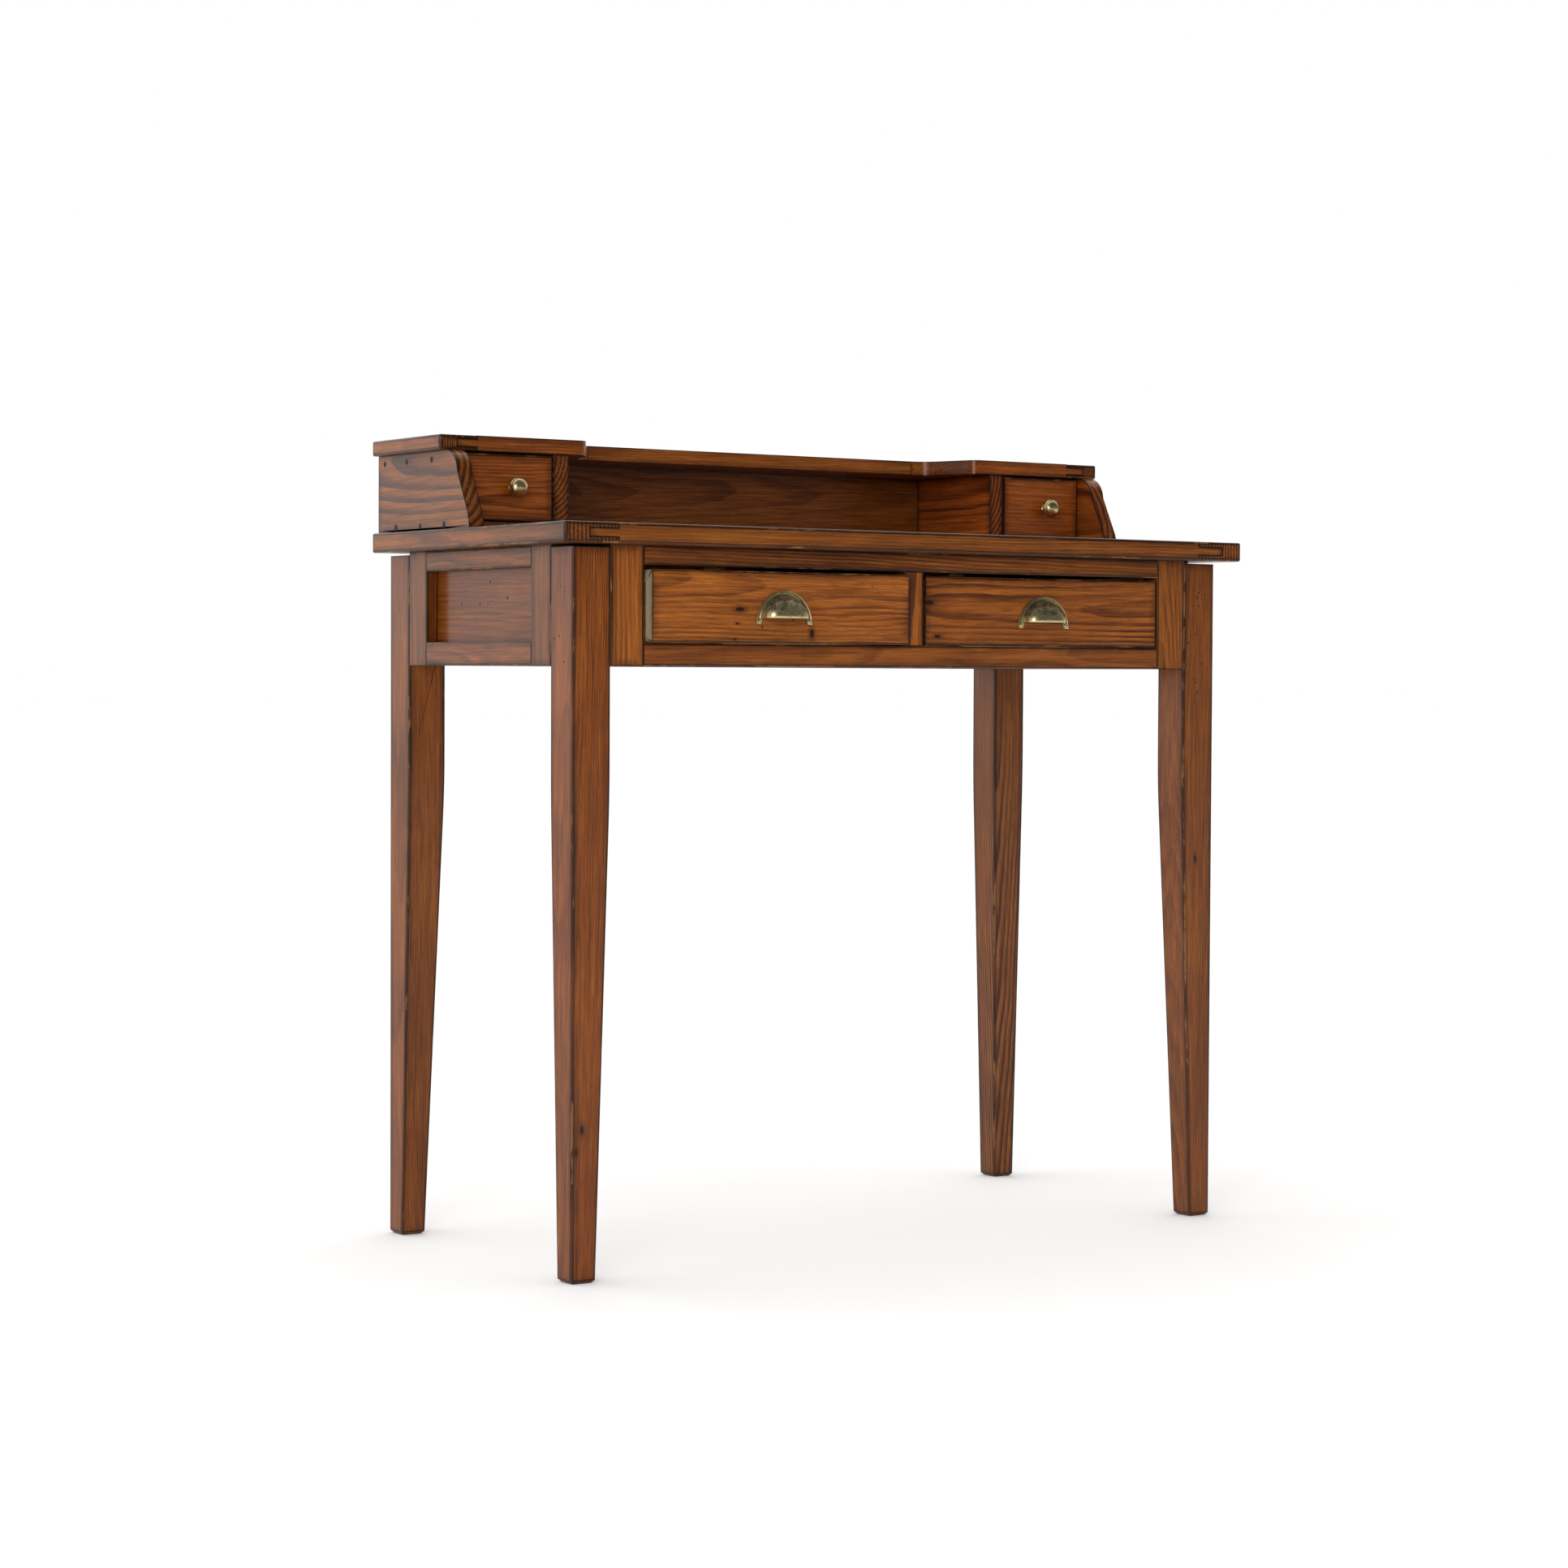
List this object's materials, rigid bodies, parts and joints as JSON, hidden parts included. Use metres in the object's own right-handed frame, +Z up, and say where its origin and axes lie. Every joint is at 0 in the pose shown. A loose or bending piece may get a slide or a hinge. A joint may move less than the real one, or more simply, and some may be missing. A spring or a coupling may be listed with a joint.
{
  "type": "writing desk",
  "caption": "Writing desk on tapered legs, with cup-pull drawers in its frame and a low raised gallery holding small knobbed drawers.",
  "frame": {"origin": "centre of the bounding box's footprint, on the floor, with the left main drawer standing ajar as at rest", "axes": "+X to the right along the desk's width, +Y to its back (the drawer fronts face -Y), +Z up"},
  "size_m": [0.9, 0.43, 0.8783],
  "materials": {
    "stained_pine": "reddish brown stain under a satin coat, dark in the joints, worn lighter along the edges",
    "raw_pine": "planed and unfinished",
    "plywood": "sanded and unfinished",
    "antique_brass": "antiqued, dark in the hollows and rubbed bright on the rims",
    "zinc_steel": "bright zinc",
    "dark_iron": "dark oxidised nail heads"
  },
  "bodies": {
    "desk": {"back_apron": "stained_pine", "back_left_leg": "stained_pine", "back_right_leg": "stained_pine", "corner_blocks": "raw_pine", "desktop_board_1": "stained_pine", "desktop_board_2": "stained_pine", "desktop_board_3": "stained_pine", "desktop_board_4": "stained_pine", "desktop_left_end": "stained_pine", "desktop_right_end": "stained_pine", "drawer_kickers": "raw_pine", "drawer_runners": "raw_pine", "front_bottom_rail": "stained_pine", "front_left_leg": "stained_pine", "front_left_stile": "stained_pine", "front_muntin": "stained_pine", "front_right_leg": "stained_pine", "front_right_stile": "stained_pine", "front_top_rail": "stained_pine", "gallery_back": "stained_pine", "gallery_cleats": "raw_pine", "gallery_floors": "stained_pine", "gallery_left_partition": "stained_pine", "gallery_left_side": "stained_pine", "gallery_nails": "dark_iron", "gallery_right_partition": "stained_pine", "gallery_right_side": "stained_pine", "gallery_top_back_board": "stained_pine", "gallery_top_left_end": "stained_pine", "gallery_top_left_wing": "stained_pine", "gallery_top_right_end": "stained_pine", "gallery_top_right_wing": "stained_pine", "hanger_bolts": "zinc_steel", "left_side_panel": "stained_pine", "left_side_rails": "stained_pine", "left_side_stiles": "stained_pine", "right_side_panel": "stained_pine", "right_side_rails": "stained_pine", "right_side_stiles": "stained_pine", "top_screws": "zinc_steel"},
    "left_drawer": {"left_drawer_front": "stained_pine", "left_drawer_box": "raw_pine", "left_drawer_bottom": "plywood", "left_drawer_pull": "antique_brass", "left_drawer_pull_screws": "zinc_steel"},
    "left_small_drawer": {"left_small_drawer_front": "stained_pine", "left_small_drawer_box": "raw_pine", "left_small_drawer_bottom": "plywood", "left_small_drawer_knob": "antique_brass", "left_small_drawer_knob_screw": "zinc_steel"},
    "right_drawer": {"right_drawer_front": "stained_pine", "right_drawer_box": "raw_pine", "right_drawer_bottom": "plywood", "right_drawer_pull": "antique_brass", "right_drawer_pull_screws": "zinc_steel"},
    "right_small_drawer": {"right_small_drawer_front": "stained_pine", "right_small_drawer_box": "raw_pine", "right_small_drawer_bottom": "plywood", "right_small_drawer_knob": "antique_brass", "right_small_drawer_knob_screw": "zinc_steel"}
  },
  "joints": [
    {"name": "left_drawer_slide", "type": "slide", "parent": "desk", "child": "left_drawer", "axis": [0, -1, 0], "range_m": [-0.012, 0.2]},
    {"name": "right_drawer_slide", "type": "slide", "parent": "desk", "child": "right_drawer", "axis": [0, -1, 0], "range_m": [0, 0.212]},
    {"name": "left_small_drawer_slide", "type": "slide", "parent": "desk", "child": "left_small_drawer", "axis": [0, -1, 0], "range_m": [0, 0.095]},
    {"name": "right_small_drawer_slide", "type": "slide", "parent": "desk", "child": "right_small_drawer", "axis": [0, -1, 0], "range_m": [0, 0.095]}
  ]
}
